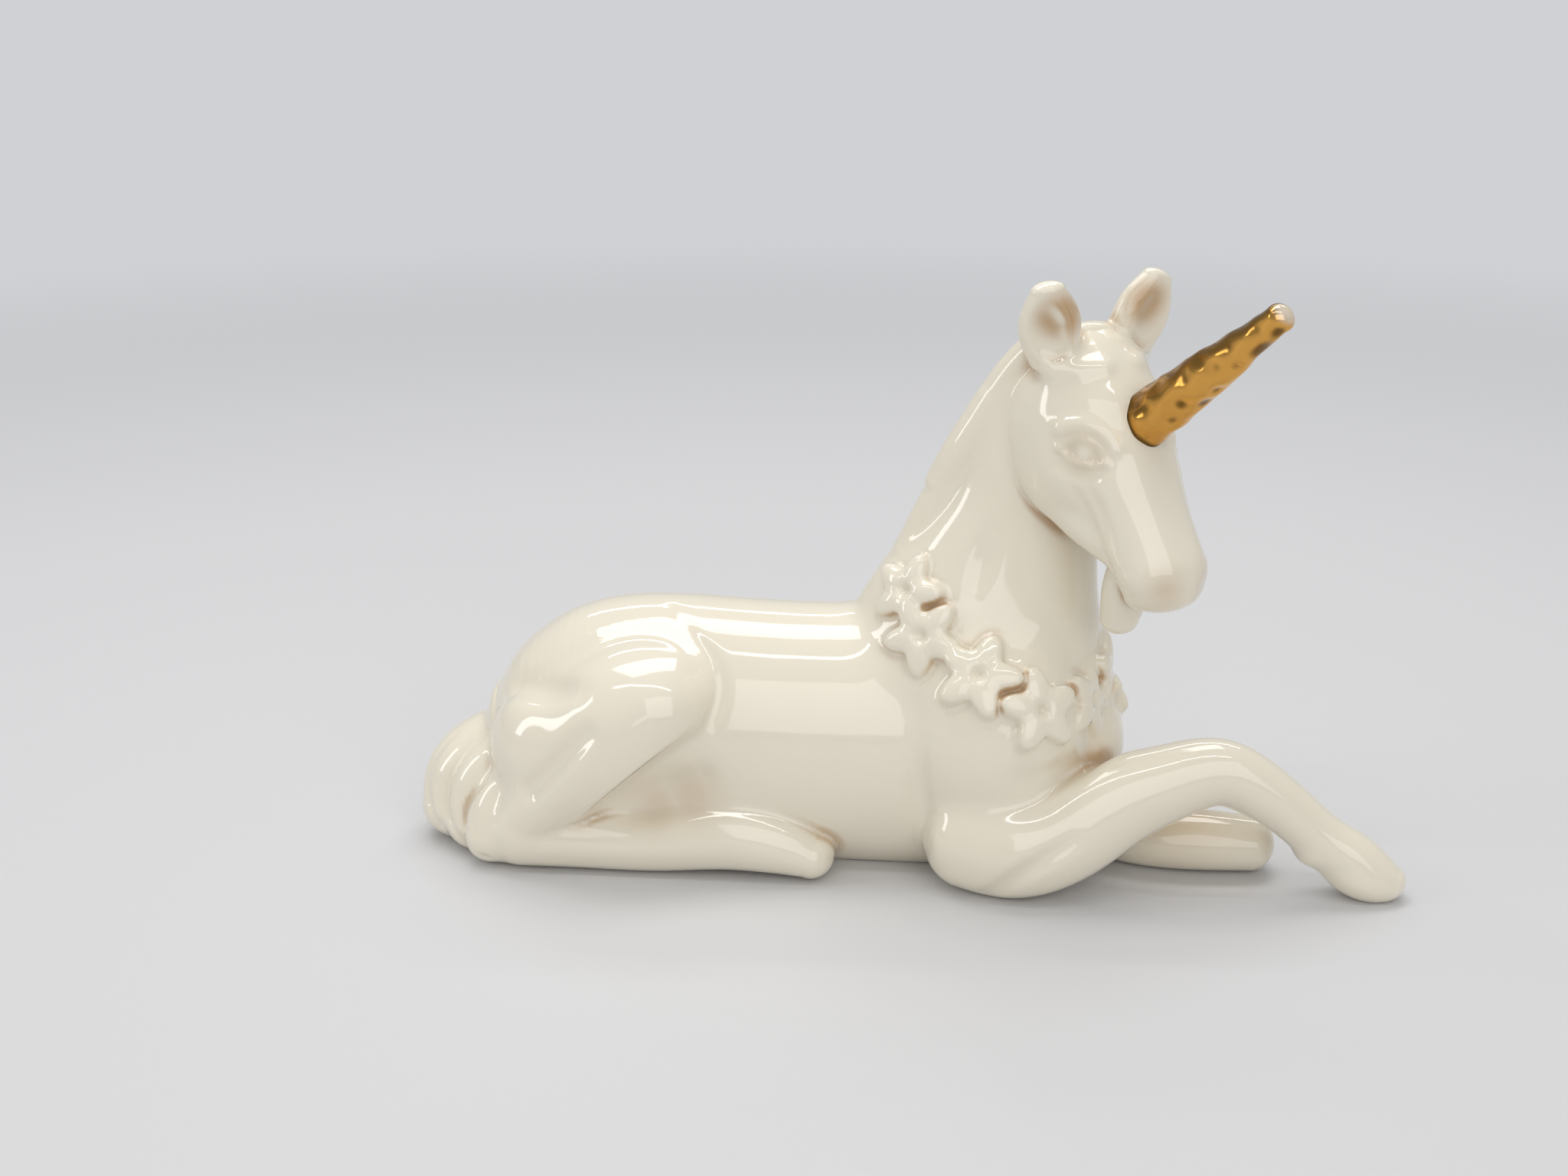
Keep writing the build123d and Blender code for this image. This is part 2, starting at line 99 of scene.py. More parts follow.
class Roll:
    """Roll of clay along stations (x, y, z, half size along side, half size across it)."""

    def __init__(self, stations, side=(0, 1, 0), ends=(1.0, 1.0), square=2.0, rings=56):
        rows, length = along(stations, rings)
        self.centre = rows[:, :3]
        self.half = np.maximum(rows[:, 3:5], 0.2)
        tangent = unit(np.gradient(self.centre, axis=0))
        side = np.broadcast_to(np.asarray(side, float), self.centre.shape)
        wide = unit(side - (side * tangent).sum(1, keepdims=True) * tangent)
        self.axes = (wide, np.cross(tangent, wide), tangent)
        self.step = length / (rings - 1)
        self.ends = ends
        self.square = square
        room = self.half.max()
        self.low, self.high = self.centre.min(0) - room, self.centre.max(0) + room

    def __call__(self, points):
        last = len(self.centre) - 1
        place = nearest_of(points, self.centre).astype(float)

        def between(values):
            first = np.minimum(place.astype(int), last - 1)
            share = (place - first)[:, None]
            return values[first] * (1 - share) + values[first + 1] * share

        for _ in range(4):
            slip = ((points - between(self.centre)) * between(self.axes[2])).sum(1) / self.step
            place = np.clip(place + 0.8 * slip, 0, last)
        half = between(self.half)
        end = np.where(place < len(self.centre) / 2, self.ends[0], self.ends[1]) * half.min(1)
        offset = points - between(self.centre)
        local = np.stack([(offset * between(axis)).sum(1) for axis in self.axes], 1)
        return rounded(local, np.c_[half, end], self.square)


class Lump:
    """Ball of clay pressed to three half sizes along three directions."""

    def __init__(self, centre, half, axes=None, square=2.0):
        self.centre = np.asarray(centre, float)
        self.half = np.asarray(half, float)
        self.axes = np.eye(3) if axes is None else unit(axes)
        self.square = square
        self.low, self.high = self.centre - self.half.max(), self.centre + self.half.max()

    def __call__(self, points):
        return rounded((points - self.centre) @ self.axes.T, self.half, self.square)


def rounded(local, half, square):
    """Distance to an oval whose section squares up as the power rises."""
    if square == 2.0:
        inside = np.linalg.norm(local / half, axis=1) + 1e-9
        slope = np.linalg.norm(local / half**2, axis=1) + 1e-9
        return inside * (inside - 1) / slope
    share = np.abs(local / half) + 1e-9
    inside = (share**square).sum(1) ** (1 / square)
    slope = np.linalg.norm((share / inside[:, None]) ** (square - 1) / half, axis=1) + 1e-9
    return (inside - 1) / slope


def press(first, second, soft):
    """Two pieces of clay pressed together, with the crease filled over a soft width."""
    blend = np.maximum(soft - np.abs(first - second), 0) / soft
    return np.minimum(first, second) - blend**3 * soft / 6


def pare(clay, tool, soft):
    """Clay cut back by a tool, with the edge eased over a soft width."""
    return -press(-clay, tool, soft)


class Groove:
    """Mark drawn along points (x, y, z, strength): depth above zero cuts in, below zero raises a bead."""

    def __init__(self, points, depth, width, steps=48):
        rows = np.asarray(points, float)
        if rows.shape[1] == 3:
            rows = np.c_[rows, np.ones(len(rows))]
        self.rows = along(rows, steps)[0] if len(rows) > 1 else rows
        self.depth, self.width = depth, width
        self.low = self.rows[:, :3].min(0) - 3 * width
        self.high = self.rows[:, :3].max(0) + 3 * width

    def __call__(self, points):
        line = self.rows[:, :3]
        nearest = nearest_of(points, line)
        best, strength = ((points - line[nearest]) ** 2).sum(1), self.rows[nearest, 3]
        if len(line) > 1:
            for first in (np.clip(nearest - 1, 0, len(line) - 2), np.clip(nearest, 0, len(line) - 2)):
                start, run = line[first], line[first + 1] - line[first]
                share = np.clip(((points - start) * run).sum(1) / (run**2).sum(1), 0, 1)
                away = ((points - start - share[:, None] * run) ** 2).sum(1)
                closer = away < best
                faded = self.rows[first, 3] * (1 - share) + self.rows[first + 1, 3] * share
                best, strength = np.where(closer, away, best), np.where(closer, faded, strength)
        return self.depth * strength * np.exp(-np.maximum(best, 0) / self.width**2)


def close_to(points, form, room):
    """Which points lie within some room of a form's box."""
    return ((points > form.low - room) & (points < form.high + room)).all(1)


class Casting:
    """One casting: forms pressed on or pared away in order."""

    def __init__(self):
        self.work = []

    def add(self, form, soft=2.0):
        self.work.append((press, form, soft))
        return self

    def cut(self, form, soft=1.0):
        self.work.append((pare, form, soft))
        return self

    @property
    def low(self):
        return np.min([form.low for verb, form, soft in self.work if verb is press], axis=0)

    @property
    def high(self):
        return np.max([form.high for verb, form, soft in self.work if verb is press], axis=0)

    def __call__(self, points):
        clay = np.full(len(points), OPEN_AIR)
        for verb, form, soft in self.work:
            here = close_to(points, form, REACH + soft)
            if here.any():
                clay[here] = verb(clay[here], form(points[here]), soft)
        return np.minimum(clay, REACH)


class Figure:
    """All castings luted together, with the tool marks drawn over them."""

    def __init__(self):
        self.castings = {}
        self.luting = {}
        self.over = {}
        self.marks = []

    def lute(self, name, casting, soft, over):
        """Press a casting on over a soft width; where two lie level the one further over keeps the skin."""
        self.castings[name] = casting
        self.luting[name] = soft
        self.over[name] = over

    def mark(self, points, depth, width):
        """Draw a mark along points that are first settled on the skin."""
        rows = np.asarray(points, float)
        rows[:, :3] = self.settle(rows[:, :3])
        self.marks.append(Groove(rows, depth, width))

    def settle(self, points):
        """Points moved on to the skin along its slope."""
        points = np.array(points, float)
        for _ in range(6):
            slope, clay = lie(self, points, 0.1)
            points -= (clay / np.maximum((slope**2).sum(1), 0.2))[:, None] * slope
        return points

    def fields(self, points):
        return {
            name: casting(points) if close_to(points, casting, REACH).any() else np.full(len(points), REACH)
            for name, casting in self.castings.items()
        }

    def luted(self, points, fields):
        clay = np.full(len(points), REACH)
        for name, field in fields.items():
            clay = press(clay, field, self.luting[name])
        for groove in self.marks:
            here = close_to(points, groove, 0.0)
            if here.any():
                clay[here] += groove(points[here])
        return np.maximum(clay, -points[:, 2])

    def __call__(self, points):
        return self.luted(points, self.fields(points))


class Share:
    """The part of the figure that belongs to one casting, lapped a little under its neighbours."""

    lap = 1.0
    sink = 0.3

    def __init__(self, figure, name, hollow=None):
        self.figure, self.name, self.hollow = figure, name, hollow

    def __call__(self, points):
        fields = self.figure.fields(points)
        clay = self.figure.luted(points, fields)
        level = {name: field - self.figure.over[name] for name, field in fields.items()}
        own = level.pop(self.name)
        border = own - np.min(list(level.values()), axis=0)
        lapped = np.clip(border / self.lap, 0, 1)
        clay = np.maximum(clay + self.sink * lapped**2, border - self.lap)
        if self.hollow is not None:
            clay = np.maximum(clay, -self.hollow(points))
        return clay


TETRAHEDRON = np.array([[1, 1, 1], [1, -1, -1], [-1, 1, -1], [-1, -1, 1]], float)


WORKERS = ThreadPoolExecutor(4)
BATCH = 12000


def in_batches(field, points):
    """Field read at many points, a batch at a time."""
    batches = [points[i : i + BATCH] for i in range(0, len(points), BATCH)]
    return np.concatenate(list(WORKERS.map(field, batches)))


def lie(field, points, reach):
    """Slope and height of a field about each point."""
    heights = [in_batches(field, points + reach * corner) for corner in TETRAHEDRON]
    slope = sum(height[:, None] * corner for height, corner in zip(heights, TETRAHEDRON)) / (4 * reach)
    return slope, sum(heights) / 4


def skin(field, low, high, step, coarse=4):
    """Closed skin of quads where a field is zero: returns points and faces."""
    low = np.asarray(low, float)
    size = np.ceil((np.asarray(high, float) - low) / (step * coarse)).astype(int) * coarse + 1
    ticks = [low[axis] + step * np.arange(size[axis]) for axis in range(3)]
    thin = [tick[::coarse] for tick in ticks]
    rough = in_batches(field, np.stack(np.meshgrid(*thin, indexing="ij"), -1).reshape(-1, 3))
    rough = rough.reshape([len(tick) for tick in thin])
    band = 1.5 * step * coarse
    clay = rough
    for axis in range(3):
        clay = np.repeat(clay, coarse, axis)
    clay = np.where(clay[: size[0], : size[1], : size[2]] > 0, band, -band)
    near = np.zeros(size, bool)
    for block in np.argwhere(np.abs(rough) < band) * coarse:
        start = np.maximum(block - coarse, 0)
        stop = block + coarse + 1
        near[start[0] : stop[0], start[1] : stop[1], start[2] : stop[2]] = True
    cells = low + np.argwhere(near) * step
    clay[near] = in_batches(field, cells)

    inside = clay < 0
    corners = np.array([(i, j, k) for i in (0, 1) for j in (0, 1) for k in (0, 1)])
    count = sum(
        inside[i : size[0] - 1 + i, j : size[1] - 1 + j, k : size[2] - 1 + k].astype(np.int8) for i, j, k in corners
    )
    crossed = (count > 0) & (count < 8)
    cell = np.argwhere(crossed)
    number = np.full(crossed.shape, -1)
    number[crossed] = np.arange(len(cell))
    total, hits = np.zeros((len(cell), 3)), np.zeros(len(cell))
    for a in range(8):
        for b in range(a + 1, 8):
            if np.abs(corners[a] - corners[b]).sum() != 1:
                continue
            start, end = clay[tuple((cell + corners[a]).T)], clay[tuple((cell + corners[b]).T)]
            hit = (start < 0) != (end < 0)
            share = np.where(hit, start / (start - end + 1e-30), 0)[:, None]
            total += np.where(hit[:, None], corners[a] + share * (corners[b] - corners[a]), 0)
            hits += hit
    points = low + step * (cell + total / hits[:, None])
    faces = []
    for axis in range(3):
        ways = np.eye(3, dtype=int)
        u, w = ways[(axis + 1) % 3], ways[(axis + 2) % 3]
        here = tuple(slice(0, size[d] - 1) if d == axis else slice(1, size[d] - 1) for d in range(3))
        next_one = tuple(slice(1, size[d]) if d == axis else slice(1, size[d] - 1) for d in range(3))
        edge = np.argwhere(inside[here] != inside[next_one])
        outward = inside[here][tuple(edge.T)]
        base = edge + 1 - ways[axis]
        around = (base - u - w, base - w, base, base - u)
        quad = np.stack([number[tuple(corner.T)] for corner in around], 1)
        faces.append(np.where(outward[:, None], quad, quad[:, ::-1]))
    faces = np.concatenate(faces)
    faces = faces[(faces >= 0).all(1)]
    for _ in range(2):
        slope, height = lie(field, points, step / 4)
        shift = np.clip(height / np.maximum((slope**2).sum(1), 0.05), -step / 2, step / 2)
        points = points - shift[:, None] * slope
    return points, faces


# Directions

ACROSS = np.array([0.0, 1.0, 0.0])
UP = np.array([0.0, 0.0, 1.0])
POLL = np.array([24.7, -4.0, 77.0])
HEAD_TURN = math.radians(50.0)
HEAD_PITCH = math.radians(62.0)
FACING = np.array([math.cos(HEAD_TURN), -math.sin(HEAD_TURN), 0.0])
TO_NEAR = np.cross(FACING, UP)
DOWN_FACE = math.cos(HEAD_PITCH) * FACING - math.sin(HEAD_PITCH) * UP
OFF_FACE = math.sin(HEAD_PITCH) * FACING + math.cos(HEAD_PITCH) * UP
HEAD_AXES = (DOWN_FACE, OFF_FACE, TO_NEAR)


def on_head(down, out, aside=0.0):
    """Point given by its distance down the face, out of the face plane and to the near side."""
    return POLL + down * DOWN_FACE + out * OFF_FACE + aside * TO_NEAR


def head_line(rows):
    """Stations or mark points given in the head's own directions."""
    return [(*on_head(*row[:3]), *row[3:]) for row in rows]


# Castings

figure = Figure()

BARREL = [
    (-55.8, 0, 14.2, 8.0, 8.6),
    (-52.6, 0, 14.8, 11.4, 13.0),
    (-46.6, 0, 15.5, 14.3, 17.3),
    (-38.0, 0, 16.5, 15.5, 19.4),
    (-26.0, 0, 16.6, 15.8, 19.5),
    (-12.0, 0, 16.5, 15.8, 19.1),
    (2.0, 0, 16.4, 15.8, 19.2),
    (12.0, 0, 16.4, 15.6, 18.0),
    (20.0, 0, 16.6, 13.6, 13.9),
    (24.3, 0, 16.3, 10.6, 10.5),
]
figure.lute("body", Casting().add(Roll(BARREL, ends=(0.36, 0.8))), 1.0, 0.0)


def hind_leg(side):
    """Haunch, buttock, thigh and the shank laid forward along the floor."""
    leg = Casting()
    tilt = [(0.80, 0, 0.60), (0, 1, 0), (-0.60, 0, 0.80)]
    leg.add(Lump((-38.6, side * 9.4, 19.2), (16.6, 11.4, 11.7), tilt))
    leg.add(Lump((-47.8, side * 8.4, 16.4), (9.2, 9.2, 10.4)), 4.0)
    thigh = [
        (-32.6, side * 12.6, 24.0, 7.4, 7.0),
        (-40.2, side * 13.8, 18.8, 6.8, 6.6),
        (-47.4, side * 13.6, 11.6, 5.8, 5.4),
        (-52.0, side * 12.8, 6.6, 5.0, 4.9),
    ]
    leg.add(Roll(thigh), 2.4)
    under_thigh = [
        (-21.8, side * 21.0, 20.4, 7.0, 6.0),
        (-28.8, side * 21.0, 14.8, 7.0, 6.0),
        (-38.8, side * 21.0, 5.9, 7.0, 6.0),
    ]
    leg.cut(Roll(under_thigh), 0.9)
    shank = [
        (-52.0, side * 12.8, 5.2, 5.2, 5.2),
        (-42.0, side * 13.0, 4.7, 4.6, 4.7),
        (-32.0, side * 13.2, 4.8, 4.6, 4.7),
        (-22.0, side * 13.2, 5.9, 4.9, 5.2),
        (-15.5, side * 13.4, 4.9, 4.7, 4.5),
        (-11.0, side * 13.6, 3.3, 4.0, 3.3),
    ]
    leg.add(Roll(shank), 1.0)
    return leg


figure.lute("near_hind_leg", hind_leg(-1), 1.8, 1.2)
figure.lute("far_hind_leg", hind_leg(1), 1.8, 0.8)

TAIL_ROOT = [
    (-48.0, 0.0, 16.5, 6.0, 6.0),
    (-55.6, -0.8, 13.8, 6.4, 5.6),
    (-62.6, -2.4, 9.0, 6.8, 5.9),
    (-64.0, -4.2, 4.4, 5.6, 4.8),
]
TAIL_SWEEP = [
    (-63.4, -3.4, 4.8, 4.6, 5.0),
    (-59.4, -7.6, 4.4, 4.4, 4.6),
    (-54.0, -12.0, 3.3, 3.4, 3.6),
]
TAIL_LOCKS = [
    [(-52.5, -5.0, 14.0, 4.8, 4.8), (-59.0, -6.8, 9.6, 4.8, 4.8), (-60.0, -8.4, 4.2, 4.2, 4.3)],
    [(-51.0, -9.4, 13.0, 3.8, 3.8), (-55.6, -11.2, 8.4, 4.0, 4.0), (-56.6, -12.8, 4.0, 3.8, 3.9)],
]
tail = Casting().add(Roll(TAIL_ROOT, ends=(0.6, 0.9))).add(Roll(TAIL_SWEEP, UP, ends=(0.9, 0.8)), 2.0)
for lock in TAIL_LOCKS:
    tail.add(Roll(lock), 1.0)
figure.lute("tail", tail, 2.0, 1.6)


def shoulder(side):
    """Shoulder muscle that carries one foreleg."""
    return Lump((13.5, side * 8.2, 19.5), (13.2, 11.2, 15.6))


NEAR_ARM = [
    (11.0, -14.4, 7.2, 6.4, 7.2),
    (17.0, -16.6, 6.9, 6.2, 7.0),
    (24.0, -15.8, 9.0, 6.2, 6.7),
    (30.0, -14.6, 12.9, 5.8, 6.4),
    (38.0, -13.5, 16.2, 4.9, 5.3),
    (45.0, -13.0, 17.6, 4.3, 4.6),
    (49.4, -13.0, 15.7, 3.9, 4.2),
    (54.6, -13.0, 12.0, 3.5, 3.7),
    (59.0, -13.0, 8.2, 3.5, 3.7),
    (64.2, -13.0, 4.7, 3.7, 3.8),
    (68.4, -13.0, 2.4, 2.9, 2.4),
]
FAR_ARM = [
    (12.0, 11.0, 6.8, 6.0, 7.0),
    (25.0, 2.0, 5.3, 5.3, 5.3),
    (34.0, -4.2, 4.3, 4.9, 4.4),
    (42.0, -5.9, 4.3, 4.8, 4.3),
    (50.4, -5.9, 4.0, 4.2, 3.9),
]
HOOF_TILT = [(0.92, 0, -0.39), (0, 1, 0), (0.39, 0, 0.92)]
near_foreleg = Casting().add(shoulder(-1)).add(Roll(NEAR_ARM, ends=(1.0, 0.9)), 3.0)
near_foreleg.add(Lump((57.6, -13.0, 6.7), (2.2, 2.8, 2.0)), 2.0)
near_foreleg.add(Lump((64.4, -13.1, 3.1), (5.6, 3.9, 3.2), HOOF_TILT), 1.5)
figure.lute("near_foreleg", near_foreleg, 2.4, 1.2)
figure.lute("far_foreleg", Casting().add(shoulder(1)).add(Roll(FAR_ARM, ends=(1.0, 0.9)), 3.0), 3.0, 0.8)

NECK = [
    (10.5, 0.0, 27.0, 14.2, 17.5),
    (12.3, 0.0, 34.0, 12.6, 17.2),
    (14.4, -0.4, 42.0, 10.0, 14.2),
    (16.4, -1.0, 50.0, 7.8, 11.1),
    (17.4, -1.6, 58.0, 6.2, 8.8),
    (19.4, -2.4, 66.0, 5.4, 7.6),
    (21.6, -3.2, 70.6, 5.0, 6.0),
]
figure.lute("neck", Casting().add(Roll(NECK, ends=(0.4, 0.8))), 4.5, 0.4)

SKULL = head_line(
    [
        (1.6, -3.4, 0, 5.6, 4.5),
        (4.2, -3.3, 0, 7.2, 6.1),
        (8.0, -3.6, 0, 8.4, 7.8),
        (13.5, -3.7, 0, 8.8, 8.5),
        (18.5, -2.9, 0, 8.3, 7.6),
        (24.0, -1.9, 0, 7.1, 6.3),
        (29.0, -1.0, 0, 6.3, 5.3),
        (33.5, -0.8, 0, 6.0, 4.9),
        (36.2, -1.3, 0, 5.3, 4.3),
    ]
)
head = Casting().add(Roll(SKULL, TO_NEAR, ends=(0.55, 0.6), square=2.3))
for side in (1, -1):
    head.add(Lump(on_head(13.4, -6.7, side * 5.4), (10.2, 7.8, 5.0), HEAD_AXES, 2.3), 1.8)
    jaw = [(16.5, -10.2, side * 5.7, 3.4, 3.6), (24.4, -6.8, side * 4.7, 2.9, 3.0), (30, -3.7, side * 3.2, 2.2, 2.3)]
    head.add(Roll(head_line(jaw), TO_NEAR), 1.6)
head.add(Lump(on_head(34.4, 0.0, 0), (4.7, 4.5, 6.2), HEAD_AXES), 2.0)
head.add(Lump(on_head(31.5, -4.0, 0), (4.8, 3.0, 4.2), HEAD_AXES), 1.2)
figure.lute("head", head, 0.6, 0.8)


def ear(side, outward):
    """Leaf shaped ear with a shallow cup, its front turned outward from the face by a share."""
    base = on_head(3.4, -1.8, side * (6.6 if side > 0 else 7.0))
    tip = on_head(-4.75, 4.6, side * (9.6 if side > 0 else 10.6))
    axis = unit(tip - base)
    front = OFF_FACE + outward * side * TO_NEAR
    front = unit(front - axis * (front @ axis))
    wide = np.cross(axis, front)
    length = np.linalg.norm(tip - base)
    leaf = [(0.0, 3.0, 2.6), (0.38, 4.2, 2.5), (0.68, 3.65, 2.1), (0.91, 2.3, 1.6)]
    cup = [(0.16, 1.3, 0.7, 0.6), (0.42, 2.7, 1.8, -0.9), (0.68, 2.3, 1.6, -1.0), (0.86, 1.2, 0.8, -0.6)]
    shell = [(*(base + axis * length * share), half, thick) for share, half, thick in leaf]
    bowl = []
    for share, half, deep, inward in cup:
        bowl.append((*(base + axis * length * share + 2.7 * front + side * inward * wide), half, deep))
    return Casting().add(Roll(shell, wide, ends=(0.5, 0.7))).cut(Roll(bowl, wide), 2.0)


NEAR_EAR_OUTWARD = 0.55
FAR_EAR_OUTWARD = 0.05
figure.lute("near_ear", ear(1, NEAR_EAR_OUTWARD), 2.6, 1.6)
figure.lute("far_ear", ear(-1, FAR_EAR_OUTWARD), 2.6, 1.6)

BEARD = head_line(
    [
        (30.6, -4.6, 0, 3.0, 2.6),
        (34.4, -7.6, 0, 3.5, 3.0),
        (38.1, -10.7, 0, 2.8, 2.4),
    ]
)
figure.lute("beard", Casting().add(Roll(BEARD, TO_NEAR, ends=(0.5, 0.8))), 0.7, 1.2)

MANE_LOCKS = [
    [(19.6, -4.4, 75.4, 2.4, 2.4), (15.8, -3.4, 70.6, 2.9, 2.9), (11.6, -2.6, 64.4, 2.4, 2.6)],
    [(12.6, -3.0, 66.0, 2.6, 2.6), (9.2, -2.2, 60.0, 3.0, 2.9), (6.0, -1.6, 54.6, 2.4, 2.4)],
    [(8.0, -1.8, 56.6, 2.6, 2.6), (4.8, -1.0, 50.0, 3.0, 2.8), (1.8, -0.6, 44.4, 2.8, 2.4)],
    [(3.6, -0.6, 46.6, 2.6, 2.4), (0.4, -0.2, 41.6, 3.0, 2.4), (-3.0, 0.0, 37.2, 2.4, 1.8)],
]
mane = Casting()
for lock in MANE_LOCKS:
    mane.add(Roll(lock), 0.8)
figure.lute("mane", mane, 1.6, 1.6)

# Garland of star florets

PETALS = 5
STAR_RADIUS = 5.9
STAR_HEIGHT = 1.9
STAR_DIMPLE = 1.1


class Star:
    """Five pointed floret laid on the skin: round tipped petals that droop from a dimpled middle."""

    def __init__(self, seat, outward, spin, radius):
        across = unit(np.cross(UP, outward))
        self.seat, self.spin, self.radius = seat, spin, radius
        self.axes = np.array([across, np.cross(outward, across), outward])
        self.low, self.high = seat - radius - 1.0, seat + radius + 1.0

    def __call__(self, points):
        x, y, above = ((points - self.seat) @ self.axes.T).T
        far = np.hypot(x, y)
        turn = PETALS * (np.arctan2(x, y) - self.spin)
        outline = self.radius * (0.81 + 0.19 * np.cos(turn))
        skew = PETALS * 0.19 * self.radius * np.sin(turn) / np.maximum(far, 0.35 * self.radius)
        skew *= 1 - ease(far / self.radius, 0.95, 1.3)
        edge = (far - outline) / np.sqrt(1 + skew**2)
        droop = 0.9 * (far / self.radius) ** 2
        ridge = 0.12 * np.cos(turn) * ease(far / self.radius, 0.2, 0.6)
        top = STAR_HEIGHT - droop + ridge - STAR_DIMPLE * np.exp(-((far / 0.95) ** 2))
        return np.maximum(-press(-edge, top - above, 1.5), -above - 2.5)


NEAR_STARS = [
    (1.3, -8.6, 41.0, 0.2, 0.92),
    (3.8, -11.8, 35.6, 0.65, 0.96),
    (11.6, -15.4, 31.2, 0.3, 1.02),
    (19.6, -16.6, 27.2, 0.0, 1.0),
    (28.0, -8.8, 26.2, 0.45, 0.95),
    (31.0, -2.2, 28.4, 0.15, 0.9),
]
FAR_STARS = [
    (2.2, 8.8, 39.6, -0.2, 0.86),
    (3.4, 10.7, 36.3, -0.65, 0.96),
    (10.9, 13.4, 33.8, -0.3, 1.0),
    (19.9, 16.4, 26.9, 0.0, 1.0),
    (27.0, 9.4, 28.2, -0.45, 0.95),
    (30.4, 3.4, 24.8, -0.15, 0.9),
]


def garland_star(x, y, z, spin, size):
    """Floret set on the skin near a point, facing outward."""
    seat = figure.settle([(x, y, z)])[0]
    outward = unit(lie(figure, seat[None], 1.5)[0][0])
    return Star(seat, outward, spin, size * STAR_RADIUS)


stars = [garland_star(*row) for row in NEAR_STARS + FAR_STARS]
garland = Casting()
for star in stars:
    garland.add(star, 0.8)
figure.lute("garland", garland, 1.5, 1.2)

# Tool marks

EYE_SLANT = 1.4 * DOWN_FACE + 1.7 * OFF_FACE
EYE_INWARD = 1.6
UPPER_LID = [(-3.2, -0.1), (-1.7, 1.2), (0.0, 1.65), (1.6, 1.1), (2.8, -0.5)]
LOWER_LID = [(-3.0, -0.3), (-1.5, -1.2), (0.0, -1.45), (1.5, -1.2), (2.8, -0.6)]
BROW = [(-3.6, 2.2), (-1.0, 3.2), (1.6, 2.9), (3.4, 1.4)]
FOLD = [(-3.0, -2.4), (-0.5, -3.2), (2.2, -2.8)]


def carve_eye(side):
    """Socket, eyeball, lids and brow of one eye."""
    middle = figure.settle([on_head(16.9, 0.5, side * 8.2)])[0]
    outward = unit(lie(figure, middle[None], 0.3)[0][0])
    length = EYE_SLANT - EYE_INWARD * side * TO_NEAR
    length = unit(length - outward * (length @ outward))
    upward = np.cross(outward, length) * side
    upward = upward if upward @ DOWN_FACE < 0 else -upward

    def drawn(shape):
        return [middle + x * length + y * upward for x, y in shape]

    figure.mark(drawn([(-1.6, 0.0), (1.4, 0.0)]), 1.25, 2.2)
    figure.mark(drawn([(0.1, 0.1)]), -2.1, 1.35)
    figure.mark(drawn(UPPER_LID), -0.85, 0.6)
    figure.mark(drawn(LOWER_LID), -0.55, 0.5)
    figure.mark(drawn(BROW), -0.8, 1.2)
    figure.mark(drawn(FOLD), 0.3, 0.8)
    return middle


eyes = [carve_eye(side) for side in (1, -1)]
for side in (1, -1):
    temple = [(5.6, -0.7, side * 8.2), (6.1, 1.7, side * 6.0), (6.6, 3.4, side * 2.9)]
    figure.mark(figure.settle(head_line(temple)), -0.6, 1.4)
    figure.mark(head_line([(36.8, 2.4, side * 3.4)]), 0.4, 1.8)
    cheek = [(20.0, -1.2, side * 7.8, 0.3), (24.0, -1.0, side * 7.2, 1.0), (29.0, -1.6, side * 6.4, 0.2)]
    figure.mark(head_line(cheek), 0.4, 0.9)
    cheek = [(19.0, -3.2, side * 8.0, 0.2), (23.0, -3.0, side * 7.3, 1.0), (28.0, -3.2, side * 6.2, 0.2)]
    figure.mark(head_line(cheek), 0.35, 0.9)
    lips = [(29.6, -3.4, side * 5.8, 0.3), (33.0, -3.5, side * 5.2, 1), (36.2, -3.8, side * 3, 1), (37.4, -4, 0, 1)]
    figure.mark(head_line(lips), 0.55, 0.45)
for side in (-1, 1):
    groove = [(-40.9, side * 19.5, 22.5, 0.5), (-45.2, side * 19.2, 17.9, 1), (-49.5, side * 18.7, 13.7, 0.7)]
    figure.mark(groove, 1.7, 1.4)
    dent = [(-52.6, side * 9.3, 25.3, 0.5), (-48.0, side * 12.7, 26.3, 1), (-43.0, side * 16.0, 27.6, 0.3)]
    figure.mark(dent, 1.4, 2.0)
    figure.mark([(-36.0, side * 17, 10.6, 0.5), (-31.0, side * 16, 13.0, 1), (-26.5, side * 16, 15.0, 0.6)], 1.9, 2.6)
    crease = [(-31.5, 3, 35.0, 0.2), (-27.0, 9, 33.0, 0.8), (-24.2, 12, 30.6, 1), (-23.2, 16, 26.5, 1), (-23.6, 18, 23.4, 0.5)]
    figure.mark([(x, side * y, z, strength) for x, y, z, strength in crease], 0.6, 1.1)
    figure.mark([(12.2, side * 10, 49.3, 0.3), (11.4, side * 11, 45.6, 1), (10.4, side * 12, 41.8, 0.4)], 0.55, 1.6)
figure.mark([(13.5, -20, 1.6, 0.3), (17.7, -22, 5.7, 1.0), (24.5, -21, 10.4, 0.4)], 1.0, 1.3)
figure.mark([(16.5, -18, 18.0, 0.2), (24.0, -15, 18.4, 1.0), (29.5, -12, 18.6, 0.6)], 1.0, 1.8)
figure.mark([(3.4, -17, 6.0, 0.3), (3.2, -18, 14.0, 1.0), (3.6, -17, 22.0, 0.4)], 0.6, 1.6)

